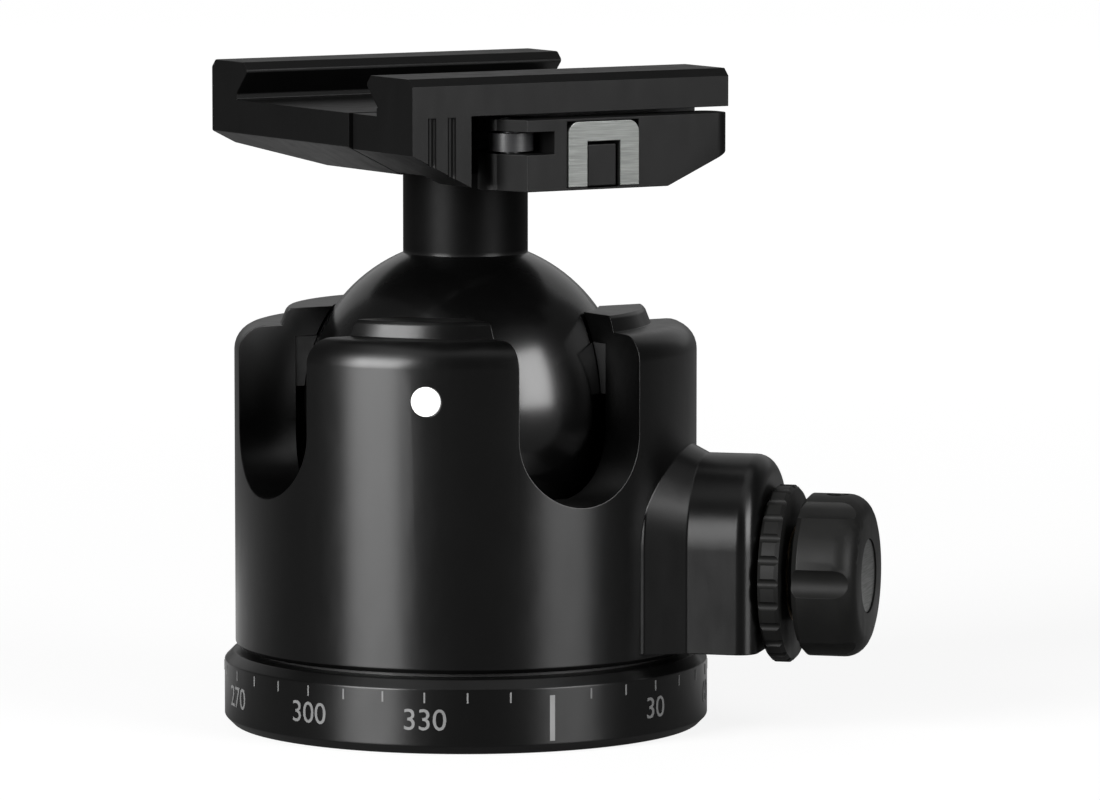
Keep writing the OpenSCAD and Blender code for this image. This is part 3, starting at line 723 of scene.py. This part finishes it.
# %% Anodised finishes
LOCK_TURN = (0, 0, math.radians(45))
UPRIGHT_RINGS = (1, 1, 40)
ACROSS_RINGS = (40, 1, 1)
CLOUD_SCALE = 90
SMEAR_STRETCH = (1, 1, 0.35)
SMEAR_SCALE = 420
LATHE_SCALE = 160
LATHE_SHARE = 0.6
GRAIN_SCALE = 5200
SATIN_BUMP = 0.16
SATIN_DEPTH = 0.02 * MM
QUARTER_TURN = 0.25


def anodised(name, dark, light, rough, specular, rings, turn=NO_TURN):
    material, tree, shader, place = start(name)
    cloud = noise(tree, place, CLOUD_SCALE)
    tone = blend_colours(tree, spread(tree, cloud, 0, 1), dark, light)
    tree.links.new(tone, shader.inputs["Base Color"])
    smear = noise(tree, mapped(tree, place, SMEAR_STRETCH), SMEAR_SCALE, detail=4)
    tree.links.new(spread(tree, smear, *rough), shader.inputs["Roughness"])
    lathe = noise(tree, mapped(tree, place, rings, turn), LATHE_SCALE, detail=2)
    grain = noise(tree, place, GRAIN_SCALE, detail=2)
    mix = tree.nodes.new("ShaderNodeMath")
    mix.operation = "MULTIPLY_ADD"
    mix.inputs[1].default_value = LATHE_SHARE
    tree.links.new(lathe, mix.inputs[0])
    tree.links.new(grain, mix.inputs[2])
    bumped(tree, shader, mix.outputs[0], SATIN_BUMP, SATIN_DEPTH)
    shader.inputs["Specular IOR Level"].default_value = specular
    return material


def turned(material, drawn_out):
    """Draws a highlight out across the rings of the lathe, which run round the upright axis."""
    tree = material.node_tree
    shader = tree.nodes["Principled BSDF"]
    rings = tree.nodes.new("ShaderNodeTangent")
    rings.direction_type = "RADIAL"
    rings.axis = "Z"
    tree.links.new(rings.outputs["Tangent"], shader.inputs["Tangent"])
    shader.inputs["Anisotropic"].default_value = drawn_out
    shader.inputs["Anisotropic Rotation"].default_value = QUARTER_TURN


satin_black = anodised(
    "satin_black", dark=grey(0.0008), light=grey(0.0013), rough=(0.28, 0.33), specular=0.40,
    rings=UPRIGHT_RINGS,
)
turned(satin_black, drawn_out=0.75)
clamp_black = anodised(
    "clamp_black", dark=grey(0.0014), light=grey(0.0022), rough=(0.40, 0.48), specular=0.17,
    rings=ACROSS_RINGS,
)
knob_black = anodised(
    "knob_black", dark=(0.005, 0.005, 0.0048), light=(0.008, 0.008, 0.0077), rough=(0.42, 0.50),
    specular=0.15, rings=ACROSS_RINGS, turn=LOCK_TURN,
)
print("anodised:", satin_black.name, clamp_black.name, knob_black.name)

# %% [markdown]
# ## The polished ball
#
# The ball is ground and hard anodised, so it is the glossiest piece, while its stem has the satin of
# the body. Both are one solid. The height in Object coordinates tells the shader which one it is on: the
# polish is a clear coat that ends where the stem begins, and the roughness under it rises there.

# %% Ball finish
STEM_FROM = (64.2 * MM, 64.8 * MM)
BALL_DARK = grey(0.0008)
BALL_LIGHT = grey(0.0013)
BALL_ROUGH = 0.30
STEM_ROUGH = 0.42
COAT_ROUGH = 0.20
BALL_CLOUD_SCALE = 110
BALL_SMEAR_SCALE = 700
BALL_SMEAR = (-0.02, 0.03)
GRIND_STRETCH = (1, 1, 18)
GRIND_SCALE = 900
GRIND_BUMP = 0.05
GRIND_DEPTH = 0.01 * MM
BALL_SPECULAR = 0.09


def ball_finish():
    material, tree, shader, place = start("ball_black")
    cloud = noise(tree, place, BALL_CLOUD_SCALE)
    tone = blend_colours(tree, spread(tree, cloud, 0, 1), BALL_DARK, BALL_LIGHT)
    tree.links.new(tone, shader.inputs["Base Color"])
    axes = tree.nodes.new("ShaderNodeSeparateXYZ")
    tree.links.new(place, axes.inputs["Vector"])
    coat = spread(tree, axes.outputs["Z"], 1, 0, *STEM_FROM)
    tree.links.new(coat, shader.inputs["Coat Weight"])
    shader.inputs["Coat Roughness"].default_value = COAT_ROUGH
    rough = spread(tree, axes.outputs["Z"], BALL_ROUGH, STEM_ROUGH, *STEM_FROM)
    smear = spread(tree, noise(tree, place, BALL_SMEAR_SCALE, detail=4), *BALL_SMEAR)
    add = tree.nodes.new("ShaderNodeMath")
    tree.links.new(rough, add.inputs[0])
    tree.links.new(smear, add.inputs[1])
    tree.links.new(add.outputs[0], shader.inputs["Roughness"])
    grind = noise(tree, mapped(tree, place, GRIND_STRETCH), GRIND_SCALE, detail=2)
    bumped(tree, shader, grind, GRIND_BUMP, GRIND_DEPTH)
    shader.inputs["Specular IOR Level"].default_value = BALL_SPECULAR
    return material


ball_black = ball_finish()
print("ball:", ball_black.name)

# %% [markdown]
# ## Bare metals, plastics and paint
#
# The catch and the knob's cap are bare silver, the hardware is steel, and the bearings are bronze. The
# races are black plastic, the draw bolt is blackened, and the dot and the scale are paint. They share
# one recipe: a colour that drifts a little, a roughness that drifts with it, and a grain drawn out along
# the way the piece was brushed.

# %% Bare finishes
ALL_WAYS = (1, 1, 1)
UPRIGHT = (1, 1, 26)
DRAWN_SCALE = 260
DRAWN_BUMP = 0.12
DEEP_GRAIN = 0.02 * MM
FINE_GRAIN = 0.01 * MM
FINEST_GRAIN = 0.005 * MM


def bare(name, dark, light, rough, metal, brush, depth):
    material, tree, shader, place = start(name)
    drawn = noise(tree, mapped(tree, place, brush), DRAWN_SCALE, detail=4)
    tone = blend_colours(tree, spread(tree, drawn, 0, 1), dark, light)
    tree.links.new(tone, shader.inputs["Base Color"])
    tree.links.new(spread(tree, drawn, *rough), shader.inputs["Roughness"])
    bumped(tree, shader, drawn, DRAWN_BUMP, depth)
    shader.inputs["Metallic"].default_value = metal
    return material


RECIPES = {  # dark and light colour, roughness of each, metal, way of the grain and its depth
    "silver": ((0.10, 0.104, 0.10), (0.145, 0.15, 0.145), (0.44, 0.30), 1, UPRIGHT, DEEP_GRAIN),
    "steel": ((0.42, 0.42, 0.43), (0.56, 0.56, 0.57), (0.36, 0.24), 1, UPRIGHT, DEEP_GRAIN),
    "bronze": ((0.42, 0.28, 0.11), (0.58, 0.40, 0.18), (0.42, 0.28), 1, UPRIGHT, DEEP_GRAIN),
    "race_black": (grey(0.012), grey(0.02), (0.55, 0.42), 0, ALL_WAYS, FINE_GRAIN),
    "oxide_black": ((0.014, 0.014, 0.015), (0.024, 0.024, 0.025), (0.46, 0.34), 0, UPRIGHT, FINE_GRAIN),
    "dot_white": ((0.86, 0.86, 0.85), (0.94, 0.94, 0.93), (0.34, 0.25), 0, ALL_WAYS, FINE_GRAIN),
    "number_white": (grey(0.11), grey(0.17), (0.55, 0.4), 0, ALL_WAYS, FINEST_GRAIN),
    "line_white": (grey(0.15), grey(0.21), (0.5, 0.4), 0, ALL_WAYS, FINEST_GRAIN),
}
bare_finish = {name: bare(name, *recipe) for name, recipe in RECIPES.items()}
print("bare:", len(bare_finish))

# %% [markdown]
# ## Painting the pieces
#
# The record names a material slot for each node, and a slot has one finish. The clamp's milled pieces
# share the slot of the turned ones but not their rings, so they are listed by name.

# %% Give each piece its finish
FINISHES = {
    "black_anodised": satin_black, "ball_black": ball_black, "knob_black": knob_black,
    "steel": bare_finish["steel"], "silver": bare_finish["silver"], "bronze": bare_finish["bronze"],
    "race_plastic": bare_finish["race_black"], "dot_white": bare_finish["dot_white"],
    "black_oxide": bare_finish["oxide_black"],
}
CLAMP_NODES = ("clamp_base", "movable_jaw", "lever", "safety_button")


def paint(piece, material):
    piece.data.materials.clear()
    piece.data.materials.append(material)


for node, source in frame["nodes"].items():
    material = clamp_black if node in CLAMP_NODES else FINISHES[SLOT_OF[node]]
    paint(source, material)
    if node in finished:
        paint(finished[node], material)
for piece in numbers + ticks:
    paint(piece, bare_finish["number_white"])
for piece in (thread, screws):
    paint(piece, bare_finish["steel"])
paint(zero_line, bare_finish["line_white"])
print("materials:", len(bpy.data.materials))

# %% [markdown]
# ## The studio
#
# A black cylinder has no colour to show, so its shape is drawn by what it reflects. Two tall soft boxes
# stand in front, one on each side, and lay two upright bands on the housing. The left one is brighter.
# A wide, weak light overhead opens the top faces, and a larger and weaker one behind keeps the back
# readable.

# %% Place the lights
FLAT_AWAY = Vector((away.x, away.y, 0))
LIGHT_AIM = Vector((0, 0, 0.05))


def soft_box(name, around, height, reach, width, tall, power):
    """A light at an angle round the view, to the right if positive, that faces the head."""
    towards = FLAT_AWAY.normalized() * math.cos(math.radians(around))
    out = towards + rightwards * math.sin(math.radians(around))
    place = out * reach + Vector((0, 0, height))
    select_nothing()
    bpy.ops.object.light_add(type="AREA", location=place)
    light = bpy.context.object
    light.name = name
    light.data.shape = "RECTANGLE"
    light.data.size = width
    light.data.size_y = tall
    light.data.energy = power
    light.rotation_euler = (place - LIGHT_AIM).to_track_quat("Z", "Y").to_euler()
    light.visible_camera = False
    return light


lights = [
    soft_box("left_box", around=-45, height=0.36, reach=1.0, width=0.53, tall=0.7, power=21),
    soft_box("right_box", around=51, height=0.36, reach=1.0, width=0.50, tall=0.7, power=10),
    soft_box("back_light", around=180, height=0.8, reach=1.3, width=2.4, tall=1.2, power=2.5),
    soft_box("top_light", around=0, height=1.3, reach=0.05, width=1.2, tall=1.2, power=3),
]
print("lights:", len(lights))

# %% [markdown]
# ## The white background
#
# The floor and the sky are white to the eye, but a black head that mirrored all of that white would turn
# grey. So the white is emitted: in full to the camera, and only a part of it to rays that come off metal
# or glass. That part is small in front, so that the black stays black between the two bands. It is
# larger behind the head. What is behind is mirrored only by faces that are seen at a low angle, and
# there it draws the edges.

# %% White to the eye
FRONT_SHARE = 0.06
WHITE = (*grey(1), 1)


def behind_head(tree, place, share, rise):
    """The share of the background that is mirrored, which grows from the front to the back."""
    behind = tree.nodes.new("ShaderNodeVectorMath")
    behind.operation = "DOT_PRODUCT"
    behind.inputs[1].default_value = -FLAT_AWAY
    tree.links.new(place, behind.inputs[0])
    return spread(tree, behind.outputs["Value"], FRONT_SHARE, share, *rise)


def seen_white(tree, level, part):
    """The level that the eye sees, and a part of it for what metal and glass show."""
    path = tree.nodes.new("ShaderNodeLightPath")
    mirrored = tree.nodes.new("ShaderNodeMath")
    tree.links.new(path.outputs["Is Glossy Ray"], mirrored.inputs[0])
    tree.links.new(path.outputs["Is Transmission Ray"], mirrored.inputs[1])
    share = tree.nodes.new("ShaderNodeMath")
    share.operation = "MULTIPLY_ADD"
    tree.links.new(mirrored.outputs[0], share.inputs[0])
    tree.links.new(part, share.inputs[1])
    tree.links.new(path.outputs["Is Camera Ray"], share.inputs[2])
    total = tree.nodes.new("ShaderNodeMath")
    total.operation = "MULTIPLY"
    tree.links.new(share.outputs[0], total.inputs[0])
    tree.links.new(level, total.inputs[1])
    return total.outputs[0]


print("mirrored in front:", FRONT_SHARE)

# %% [markdown]
# ## The floor
#
# The floor lies a hair below the base, so that the two faces never share a plane. Its tone is what the
# lights can add to its own white, so where the head stands in their way a soft shadow is left. It emits
# a little less near the head to make room for that light. The part that is mirrored falls off again not
# far behind the head, because the underside of the clamp would show the rest of it as grey.

# %% Lay the floor
FLOOR_GAP = 0.05 * MM
FLOOR_R = 4
FLOOR_SIDES = 96
FLOOR_TONE = 0.13
FLOOR_ROUGH = 0.9
FLOOR_SPECULAR = 0.1
NEAR_LIFT = 0.86
FAR_LIFT = 0.98
LIFT_REACH = (0.12, 0.8)
SWEEP_SHARE = 0.75
SWEEP_RISE = (0, 0.1)
SWEEP_FADE = (0.13, 0.22)


def floor_finish():
    material, tree, shader, place = start("floor_pale")
    shader.inputs["Base Color"].default_value = (*grey(FLOOR_TONE), 1)
    shader.inputs["Roughness"].default_value = FLOOR_ROUGH
    shader.inputs["Specular IOR Level"].default_value = FLOOR_SPECULAR
    shader.inputs["Emission Color"].default_value = WHITE
    reach = tree.nodes.new("ShaderNodeVectorMath")
    reach.operation = "LENGTH"
    tree.links.new(place, reach.inputs[0])
    lift = spread(tree, reach.outputs["Value"], NEAR_LIFT, FAR_LIFT, *LIFT_REACH)
    fade = spread(tree, reach.outputs["Value"], SWEEP_SHARE, FRONT_SHARE, *SWEEP_FADE)
    sweep = tree.nodes.new("ShaderNodeMath")
    sweep.operation = "MINIMUM"
    tree.links.new(behind_head(tree, place, SWEEP_SHARE, SWEEP_RISE), sweep.inputs[0])
    tree.links.new(fade, sweep.inputs[1])
    white = seen_white(tree, lift, sweep.outputs[0])
    tree.links.new(white, shader.inputs["Emission Strength"])
    return material


select_nothing()
bpy.ops.mesh.primitive_circle_add(
    vertices=FLOOR_SIDES, radius=FLOOR_R, fill_type="NGON", location=(0, 0, -FLOOR_GAP)
)
floor = bpy.context.object
floor.name = "floor"
paint(floor, floor_finish())
print("floor radius:", FLOOR_R)

# %% [markdown]
# ## The sky
#
# The world gives every side a faint light, and the rest of its white goes the way of the floor's: to the
# camera, and in part to mirrored rays. The Standard view transform shows a level of one as white.

# %% Hang the sky
SKY_SHARE = 0.12
SKY_RISE = (0.4, 1)
AMBIENT = 0.03


def white_sky():
    world = bpy.data.worlds.new("studio")
    world.use_nodes = True
    tree = world.node_tree
    sky = tree.nodes["Background"]
    sky.inputs["Color"].default_value = WHITE
    white = tree.nodes.new("ShaderNodeValue")
    white.outputs[0].default_value = 1 - AMBIENT
    place = tree.nodes.new("ShaderNodeTexCoord").outputs["Generated"]
    part = behind_head(tree, place, SKY_SHARE, SKY_RISE)
    level = tree.nodes.new("ShaderNodeMath")
    level.inputs[1].default_value = AMBIENT
    tree.links.new(seen_white(tree, white.outputs[0], part), level.inputs[0])
    tree.links.new(level.outputs[0], sky.inputs["Strength"])
    return world


bpy.context.scene.world = white_sky()
bpy.context.scene.view_settings.view_transform = "Standard"
print("world:", bpy.context.scene.world.name)
